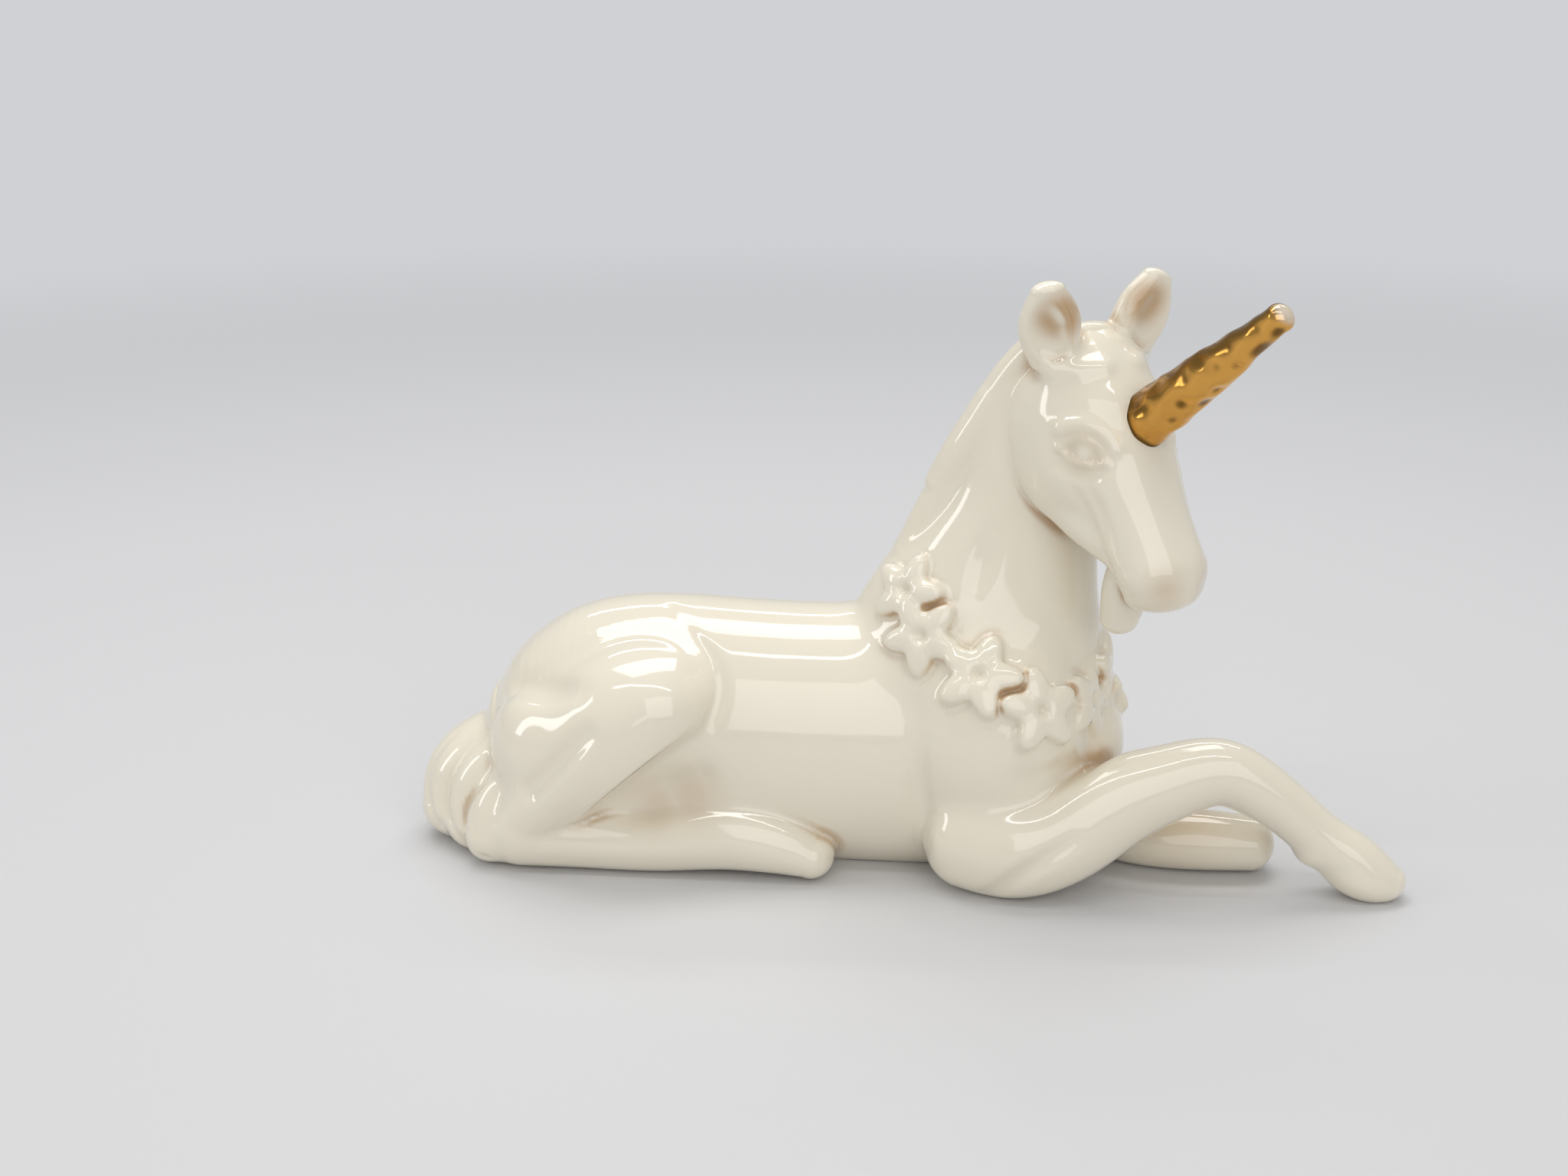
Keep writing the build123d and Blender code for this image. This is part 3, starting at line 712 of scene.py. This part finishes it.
TAIL_COMBED = [
    [(-53.0, -8.6, 15.0, 0.2), (-56.6, -9.4, 11.0, 1), (-58.4, -11.6, 7.0, 1), (-56.8, -15.0, 2.6, 0.6)],
    [(-57.4, -5.0, 16.4, 0.2), (-61.6, -6.8, 11.6, 1), (-63.0, -9.4, 7.2, 1), (-61.0, -13.0, 2.0, 0.6)],
    [(-62.0, -3.4, 13.4, 0.2), (-66.0, -6.0, 8.6, 0.8), (-65.0, -9.0, 3.6, 0.6)],
    [(-59.5, 3.0, 17.0, 0.2), (-66.4, 2.0, 10.0, 0.8), (-68.0, 0.4, 4.6, 0.5)],
]
for lock in TAIL_COMBED:
    figure.mark(lock, 0.45, 0.7)

# Hollow of the barrel and the vent in its base

WALL = 3.2
VENT_X = -14.0
VENT_RADIUS = 3.0
hollow_rows = [(x * 0.93 - 1.0, y, z, max(a - WALL, 1.0), max(b - WALL, 1.0)) for x, y, z, a, b in BARREL[1:-1]]
hollow_barrel = Roll(hollow_rows, ends=(0.5, 0.5))


def hollow(points):
    """Space inside the barrel, opened through the base by the vent."""
    space = np.maximum(hollow_barrel(points), WALL - points[:, 2])
    drill = np.hypot(points[:, 0] - VENT_X, points[:, 1]) - VENT_RADIUS
    drill = np.maximum(drill, points[:, 2] - 2 * WALL)
    return np.minimum(space, drill)


# Materials


def new_material(name):
    """Material with a Principled shader, and a helper that makes its nodes."""
    material = bpy.data.materials.new(name)
    material.use_nodes = True
    tree = material.node_tree
    return material, tree, tree.nodes["Principled BSDF"]


def glaze_ripple():
    """Shader group for the slow unevenness of a fired glaze: puts out a height and a cloud."""
    group = bpy.data.node_groups.new("glaze_ripple", "ShaderNodeTree")
    face = group.interface
    face.new_socket("Ripple size", in_out="INPUT", socket_type="NodeSocketFloat").default_value = 90.0
    face.new_socket("Height", in_out="OUTPUT", socket_type="NodeSocketFloat")
    face.new_socket("Cloud", in_out="OUTPUT", socket_type="NodeSocketFloat")
    nodes, links = group.nodes, group.links
    start, end = nodes.new("NodeGroupInput"), nodes.new("NodeGroupOutput")
    place = nodes.new("ShaderNodeTexCoord")
    ripple = nodes.new("ShaderNodeTexNoise")
    ripple.inputs["Detail"].default_value = 1.0
    cloud = nodes.new("ShaderNodeTexNoise")
    cloud.inputs["Scale"].default_value = 34.0
    cloud.inputs["Detail"].default_value = 2.0
    links.new(place.outputs["Object"], ripple.inputs["Vector"])
    links.new(place.outputs["Object"], cloud.inputs["Vector"])
    links.new(start.outputs["Ripple size"], ripple.inputs["Scale"])
    links.new(ripple.outputs["Fac"], end.inputs["Height"])
    links.new(cloud.outputs["Fac"], end.inputs["Cloud"])
    return group


RIPPLE = glaze_ripple()


def ramp(tree, source, stops):
    """Colour ramp fed by a value."""
    node = tree.nodes.new("ShaderNodeValToRGB")
    for element, (place, colour) in zip((node.color_ramp.elements[0], node.color_ramp.elements[1]), stops):
        element.position = place
        element.color = colour
    for place, colour in stops[2:]:
        node.color_ramp.elements.new(place).color = colour
    tree.links.new(source, node.inputs["Fac"])
    return node.outputs["Color"]


def mix(tree, share, first, second):
    """Mix of two colours."""
    node = tree.nodes.new("ShaderNodeMix")
    node.data_type = "RGBA"
    tree.links.new(share, node.inputs["Factor"])
    for socket, colour in ((node.inputs[6], first), (node.inputs[7], second)):
        if isinstance(colour, tuple):
            socket.default_value = colour
        else:
            tree.links.new(colour, socket)
    return node.outputs[2]


CREAM = (0.86, 0.80, 0.67, 1.0)
CREAM_DEEP = (0.82, 0.755, 0.61, 1.0)
TAN = (0.52, 0.33, 0.16, 1.0)
SPECK = (0.22, 0.10, 0.06, 1.0)


def porcelain_material():
    """Creamy glazed porcelain, tan where the glaze pools and as painted shade in creases and hollows, with a few kiln
    specks.
    """
    material, tree, shader = new_material("porcelain_glaze")
    nodes, links = tree.nodes, tree.links
    group = nodes.new("ShaderNodeGroup")
    group.node_tree = RIPPLE
    group.inputs["Ripple size"].default_value = 120.0
    pool_and_shade = nodes.new("ShaderNodeAttribute")
    pool_and_shade.attribute_name = "pool_and_shade"
    place = nodes.new("ShaderNodeTexCoord")
    cells = nodes.new("ShaderNodeTexVoronoi")
    cells.inputs["Scale"].default_value = 70.0
    links.new(place.outputs["Object"], cells.inputs["Vector"])
    rare = nodes.new("ShaderNodeSeparateColor")
    links.new(cells.outputs["Color"], rare.inputs["Color"])
    white, black = (1, 1, 1, 1), (0, 0, 0, 1)
    small = ramp(tree, cells.outputs["Distance"], [(0.0, white), (0.030, black)])
    chosen = ramp(tree, rare.outputs["Red"], [(0.965, black), (0.97, white)])
    speck = nodes.new("ShaderNodeMath")
    speck.operation = "MULTIPLY"
    links.new(small, speck.inputs[0])
    links.new(chosen, speck.inputs[1])
    body_colour = mix(tree, group.outputs["Cloud"], CREAM, CREAM_DEEP)
    # Painted shade and glaze pooling: cream mixed towards tan.
    pooled_and_shaded = mix(tree, pool_and_shade.outputs["Fac"], body_colour, TAN)
    links.new(mix(tree, speck.outputs["Value"], pooled_and_shaded, SPECK), shader.inputs["Base Color"])
    rough = nodes.new("ShaderNodeMapRange")
    rough.inputs["To Min"].default_value = 0.05
    rough.inputs["To Max"].default_value = 0.11
    links.new(group.outputs["Cloud"], rough.inputs["Value"])
    links.new(rough.outputs["Result"], shader.inputs["Roughness"])
    bump = nodes.new("ShaderNodeBump")
    bump.inputs["Strength"].default_value = 0.10
    bump.inputs["Distance"].default_value = 0.001
    links.new(group.outputs["Height"], bump.inputs["Height"])
    links.new(bump.outputs["Normal"], shader.inputs["Normal"])
    shader.inputs["IOR"].default_value = 1.52
    shader.inputs["Coat Weight"].default_value = 0.6
    shader.inputs["Coat Roughness"].default_value = 0.03
    return material


def gilding_material():
    """Bright gold lustre over the glaze, darkened by painted shade and painted reflection in the dents, on the upper
    side and at the foot, and pale at the tip.
    """
    material, tree, shader = new_material("gold_lustre")
    nodes, links = tree.nodes, tree.links
    group = nodes.new("ShaderNodeGroup")
    group.node_tree = RIPPLE
    group.inputs["Ripple size"].default_value = 420.0
    wear = nodes.new("ShaderNodeAttribute")
    wear.attribute_name = "wear"
    dark = nodes.new("ShaderNodeAttribute")
    dark.attribute_name = "pool_and_shade"
    gold = mix(tree, group.outputs["Cloud"], (0.84, 0.46, 0.11, 1), (0.54, 0.26, 0.05, 1))
    # Painted shade and painted reflection: the gold darkened towards near black by the horn's shade tint.
    gold = mix(tree, dark.outputs["Fac"], gold, (0.10, 0.052, 0.013, 1))
    links.new(mix(tree, wear.outputs["Fac"], gold, (0.80, 0.72, 0.60, 1)), shader.inputs["Base Color"])
    metal = nodes.new("ShaderNodeMapRange")
    metal.inputs["To Min"].default_value = 1.0
    metal.inputs["To Max"].default_value = 0.15
    links.new(wear.outputs["Fac"], metal.inputs["Value"])
    links.new(metal.outputs["Result"], shader.inputs["Metallic"])
    rough = nodes.new("ShaderNodeMapRange")
    rough.inputs["To Min"].default_value = 0.10
    rough.inputs["To Max"].default_value = 0.24
    links.new(group.outputs["Height"], rough.inputs["Value"])
    links.new(rough.outputs["Result"], shader.inputs["Roughness"])
    bump = nodes.new("ShaderNodeBump")
    bump.inputs["Strength"].default_value = 0.25
    bump.inputs["Distance"].default_value = 0.0005
    links.new(group.outputs["Height"], bump.inputs["Height"])
    links.new(bump.outputs["Normal"], shader.inputs["Normal"])
    return material


PORCELAIN = porcelain_material()
GOLD = gilding_material()


# Skins


def make_piece(name, points, faces, normals, tints, material):
    """Mesh object of a skin, with its smooth normals and its tints, painted shade among them, placed by its points.
    """
    mesh = bpy.data.meshes.new(name)
    mesh.vertices.add(len(points))
    mesh.vertices.foreach_set("co", (points * MM).astype(np.float32).ravel())
    mesh.loops.add(faces.size)
    mesh.loops.foreach_set("vertex_index", faces.astype(np.int32).ravel())
    mesh.polygons.add(len(faces))
    mesh.polygons.foreach_set("loop_start", np.arange(0, faces.size, 4, dtype=np.int32))
    mesh.update(calc_edges=True)
    mesh.validate()
    for tint, values in tints.items():
        mesh.attributes.new(tint, "FLOAT", "POINT").data.foreach_set("value", values.astype(np.float32))
    mesh.polygons.foreach_set("use_smooth", np.ones(len(faces), bool))
    mesh.normals_split_custom_set_from_vertices(normals.tolist())
    mesh.materials.append(material)
    piece = bpy.data.objects.new(name, mesh)
    bpy.context.scene.collection.objects.link(piece)
    return piece


def pooling_and_shade(points, normals):
    """How much tan each point takes, as glaze pooling and painted shade: more in creases that the figure closes over.
    """
    enclosure = np.zeros(len(points))
    for reach, weight in ((1.2, 0.4), (2.2, 0.4), (3.4, 0.2)):
        closed = 1 - np.clip(in_batches(figure, points + reach * normals) / reach, 0, 1)
        enclosure += weight * closed
    return 0.8 * ease(enclosure, 0.2, 0.7)


# Painted shade: tan spots in the recess under each thigh and on the far foreleg where it lies under the chest and the
# near foreleg.
PAINTED_SHADE_SPOTS = [
    (40.0, -6.0, 8.4, 7.0, 0.42),
    (29.0, -2.0, 9.0, 6.0, 0.42),
]
for side in (-1, 1):
    PAINTED_SHADE_SPOTS.append((-27.5, side * 14.6, 12.2, 4.2, 0.34))
    PAINTED_SHADE_SPOTS.append((-32.5, side * 15.2, 10.4, 3.6, 0.34))
FINE = {"head": 0.3, "near_ear": 0.26, "far_ear": 0.26, "beard": 0.3, "garland": 0.32}
FLORETS = [f"floret_{number}" for number in range(1, len(stars) + 1)]
STEP = 0.45

for name, casting in figure.castings.items():
    step = FINE.get(name, STEP) * 1.0
    share = Share(figure, name, hollow if name == "body" else None)
    margin = figure.luting[name] + 2.0
    low = np.maximum(casting.low - margin, (-90, -40, -1.0))
    points, faces = skin(share, low, casting.high + margin, step)
    slope, _ = lie(share, points, 0.08)
    normals = unit(slope)
    # Painted shade together with glaze pooling: tan laid in creases and hollows that the figure closes over.
    pool_and_shade = pooling_and_shade(points, normals)
    # Painted shade laid in those recesses.
    for x, y, z, radius, strength in PAINTED_SHADE_SPOTS:
        away = ((points - (x, y, z)) ** 2).sum(1)
        pool_and_shade = np.maximum(pool_and_shade, strength * np.exp(-away / radius**2))
    if name.endswith("ear"):
        tip_side = 1 if name == "near_ear" else -1
        cup = on_head(-0.6, 3.4, tip_side * 8.0)
        facing = normals @ OFF_FACE
        bowl = np.exp(-(((points - cup) ** 2).sum(1)) / 3.2**2) * ease(facing, 0.1, 0.6)
        pool_and_shade = np.maximum(pool_and_shade, 0.9 * ease(bowl, 0.1, 0.8))
    if name == "head":
        # Painted shade: a soft tan patch over each nostril.
        for side in (1, -1):
            nostril = on_head(36.8, 2.6, side * 3.4)
            pool_and_shade = np.maximum(pool_and_shade, 0.4 * np.exp(-((points - nostril) ** 2).sum(1) / 2.8**2))
        # Painted shade: a soft tan ring around each eyeball, in the socket and under the brow.
        for eye in eyes:
            away = ((points - eye) ** 2).sum(1)
            pool_and_shade = np.maximum(pool_and_shade, 0.5 * np.exp(-away / 2.6**2) * (1 - np.exp(-away / 1.4**2)))
    piece = make_piece(name + "_skin", points, faces, normals, {"pool_and_shade": pool_and_shade}, PORCELAIN)
    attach(piece, "root")
    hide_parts(*(FLORETS if name == "garland" else [name]))

# Horn

HORN_LENGTH = 26.2
HORN_RADII = (3.75, 3.5, 3.1, 2.55, 2.05)
HORN_WAY = unit(OFF_FACE - 0.20 * DOWN_FACE - 0.05 * TO_NEAR)
HORN_SEAT = on_head(15.0, 3.0, -0.5)
HORN_SHADE = unit(UP + 0.35 * TO_NEAR - 0.25 * HORN_WAY)
horn_rows = [
    (*(HORN_SEAT + HORN_WAY * HORN_LENGTH * i / 4), radius, radius) for i, radius in enumerate(HORN_RADII)
]
horn_roll = Roll(horn_rows, TO_NEAR, ends=(0.3, 0.8))
draw = np.random.default_rng(7)
DIMPLES = 46
horn_marks = []
for number in range(DIMPLES):
    share = (number + 0.5) / DIMPLES
    turn = number * 2.4 + draw.uniform(-0.4, 0.4)
    radius = np.interp(share, np.linspace(0, 1, 5), HORN_RADII)
    spoke = math.cos(turn) * TO_NEAR + math.sin(turn) * np.cross(HORN_WAY, TO_NEAR)
    spot = HORN_SEAT + HORN_WAY * HORN_LENGTH * share + spoke * radius
    horn_marks.append(Groove([spot], draw.uniform(0.25, 0.5), draw.uniform(1.0, 1.6)))


def horn_clay(points):
    """Tapered horn with the dents of its hammered surface."""
    clay = horn_roll(points)
    for mark in horn_marks:
        here = close_to(points, mark, 0.0)
        if here.any():
            clay[here] += mark(points[here])
    return clay


points, faces = skin(horn_clay, horn_roll.low - 0.5, horn_roll.high + 0.5, 0.3)
slope, _ = lie(horn_clay, points, 0.05)
normals = unit(slope)
dent = sum(np.maximum(mark(points), 0) for mark in horn_marks)
travel = (points - HORN_SEAT) @ HORN_WAY / HORN_LENGTH
# Painted reflection and shade: the gold darkened in the dents and on its upper side, towards HORN_SHADE.
shade_and_reflection = np.maximum(0.85 * ease(dent, 0.24, 0.44), 0.65 * ease(normals @ HORN_SHADE + 0.6 * dent, 0.45, 0.9))
# Painted shade: the gold darkened at its foot, where it meets the head.
shade_and_reflection = np.maximum(shade_and_reflection, 0.9 * (1 - ease(in_batches(figure, points), 0.25, 0.9)))
# The gold turns pale and less metallic over the last millimetre of the tip.
tints = {"pool_and_shade": shade_and_reflection, "wear": 0.85 * ease(travel, 1.025, 1.06)}
horn = make_piece("horn_gilding", points, faces, normals, tints, GOLD)
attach(horn, "root")
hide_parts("horn")

# Stage, light and camera

FLOOR_SIZE = 60.0
BACKDROP = (0.63, 0.64, 0.66, 1)
floor_mesh = bpy.data.meshes.new("floor")
half = FLOOR_SIZE / 2
floor_mesh.from_pydata([(-half, -half, 0), (half, -half, 0), (half, half, 0), (-half, half, 0)], [], [(0, 1, 2, 3)])
floor = bpy.data.objects.new("floor", floor_mesh)
bpy.context.scene.collection.objects.link(floor)
floor_material, floor_tree, floor_shader = new_material("pale_floor")
floor_shader.inputs["Base Color"].default_value = (0.66, 0.66, 0.67, 1)
floor_shader.inputs["Roughness"].default_value = 0.5
floor_place = floor_tree.nodes.new("ShaderNodeTexCoord")
floor_far = floor_tree.nodes.new("ShaderNodeVectorMath")
floor_far.operation = "LENGTH"
floor_tree.links.new(floor_place.outputs["Object"], floor_far.inputs[0])
floor_fade = floor_tree.nodes.new("ShaderNodeMapRange")
floor_fade.interpolation_type = "SMOOTHERSTEP"
floor_fade.inputs["From Min"].default_value = 0.16
floor_fade.inputs["From Max"].default_value = 0.75
floor_tree.links.new(floor_far.outputs["Value"], floor_fade.inputs["Value"])
backdrop = floor_tree.nodes.new("ShaderNodeEmission")
backdrop.inputs["Color"].default_value = BACKDROP
floor_mix = floor_tree.nodes.new("ShaderNodeMixShader")
floor_tree.links.new(floor_fade.outputs["Result"], floor_mix.inputs["Fac"])
floor_tree.links.new(floor_shader.outputs["BSDF"], floor_mix.inputs[1])
floor_tree.links.new(backdrop.outputs["Emission"], floor_mix.inputs[2])
floor_tree.links.new(floor_mix.outputs["Shader"], floor_tree.nodes["Material Output"].inputs["Surface"])
floor_mesh.materials.append(floor_material)


def soft_box(name, place, aim, width, height, power, colour):
    """Soft box that shines from one place towards another."""
    data = bpy.data.lights.new(name, "AREA")
    data.shape = "RECTANGLE"
    data.size, data.size_y = width, height
    data.energy = power
    data.color = colour
    lamp = bpy.data.objects.new(name, data)
    lamp.location = place
    lamp.rotation_euler = (Vector(aim) - Vector(place)).to_track_quat("-Z", "Y").to_euler()
    bpy.context.scene.collection.objects.link(lamp)
    return lamp


MIDDLE = (0.0, 0.0, 0.03)
soft_box("overhead_box", (-0.05, 0.12, 0.60), MIDDLE, 0.60, 0.20, 1.5, (1.0, 0.98, 0.95))
soft_box("back_strip", (0.0, 0.42, 0.50), MIDDLE, 0.80, 0.03, 0.55, (1.0, 0.99, 0.97))
soft_box("front_strip", (0.0, -0.22, 0.62), MIDDLE, 0.80, 0.03, 0.55, (1.0, 0.99, 0.97))
soft_box("front_fill", (0.45, -1.30, 0.75), MIDDLE, 1.60, 1.20, 7.2, (1.0, 0.98, 0.96))
soft_box("left_box", (-0.70, -0.20, 0.35), MIDDLE, 0.12, 0.40, 0.6, (1.0, 1.0, 1.0))

world = bpy.data.worlds.new("studio")
world.use_nodes = True
sky_tree = world.node_tree
sky = sky_tree.nodes["Background"]
sky.inputs["Color"].default_value = (0.85, 0.87, 0.9, 1)
sky.inputs["Strength"].default_value = 0.5
seen_sky = sky_tree.nodes.new("ShaderNodeBackground")
seen_sky.inputs["Color"].default_value = BACKDROP
light_path = sky_tree.nodes.new("ShaderNodeLightPath")
sky_mix = sky_tree.nodes.new("ShaderNodeMixShader")
sky_tree.links.new(light_path.outputs["Is Camera Ray"], sky_mix.inputs["Fac"])
sky_tree.links.new(sky.outputs["Background"], sky_mix.inputs[1])
sky_tree.links.new(seen_sky.outputs["Background"], sky_mix.inputs[2])
sky_tree.links.new(sky_mix.outputs["Shader"], sky_tree.nodes["World Output"].inputs["Surface"])
bpy.context.scene.world = world

CAMERA_TARGET = Vector((-0.016, 0.0, 0.038))
CAMERA_DISTANCE = 0.268
CAMERA_ROUND = math.radians(5.0)
CAMERA_DOWN = math.radians(18.0)
camera_data = bpy.data.cameras.new("camera")
camera_data.sensor_width = 36.0
camera_data.lens = 2472.0 / 2048.0 * 36.0
camera_data.clip_start = 0.01
camera = bpy.data.objects.new("camera", camera_data)
back = Vector(
    (
        math.sin(CAMERA_ROUND) * math.cos(CAMERA_DOWN),
        -math.cos(CAMERA_ROUND) * math.cos(CAMERA_DOWN),
        math.sin(CAMERA_DOWN),
    )
)
camera.location = CAMERA_TARGET + back * CAMERA_DISTANCE
camera.rotation_euler = (-back).to_track_quat("-Z", "Y").to_euler()
bpy.context.scene.collection.objects.link(camera)
bpy.context.scene.camera = camera
bpy.context.scene.view_settings.view_transform = "Standard"

bpy.context.view_layer.update()
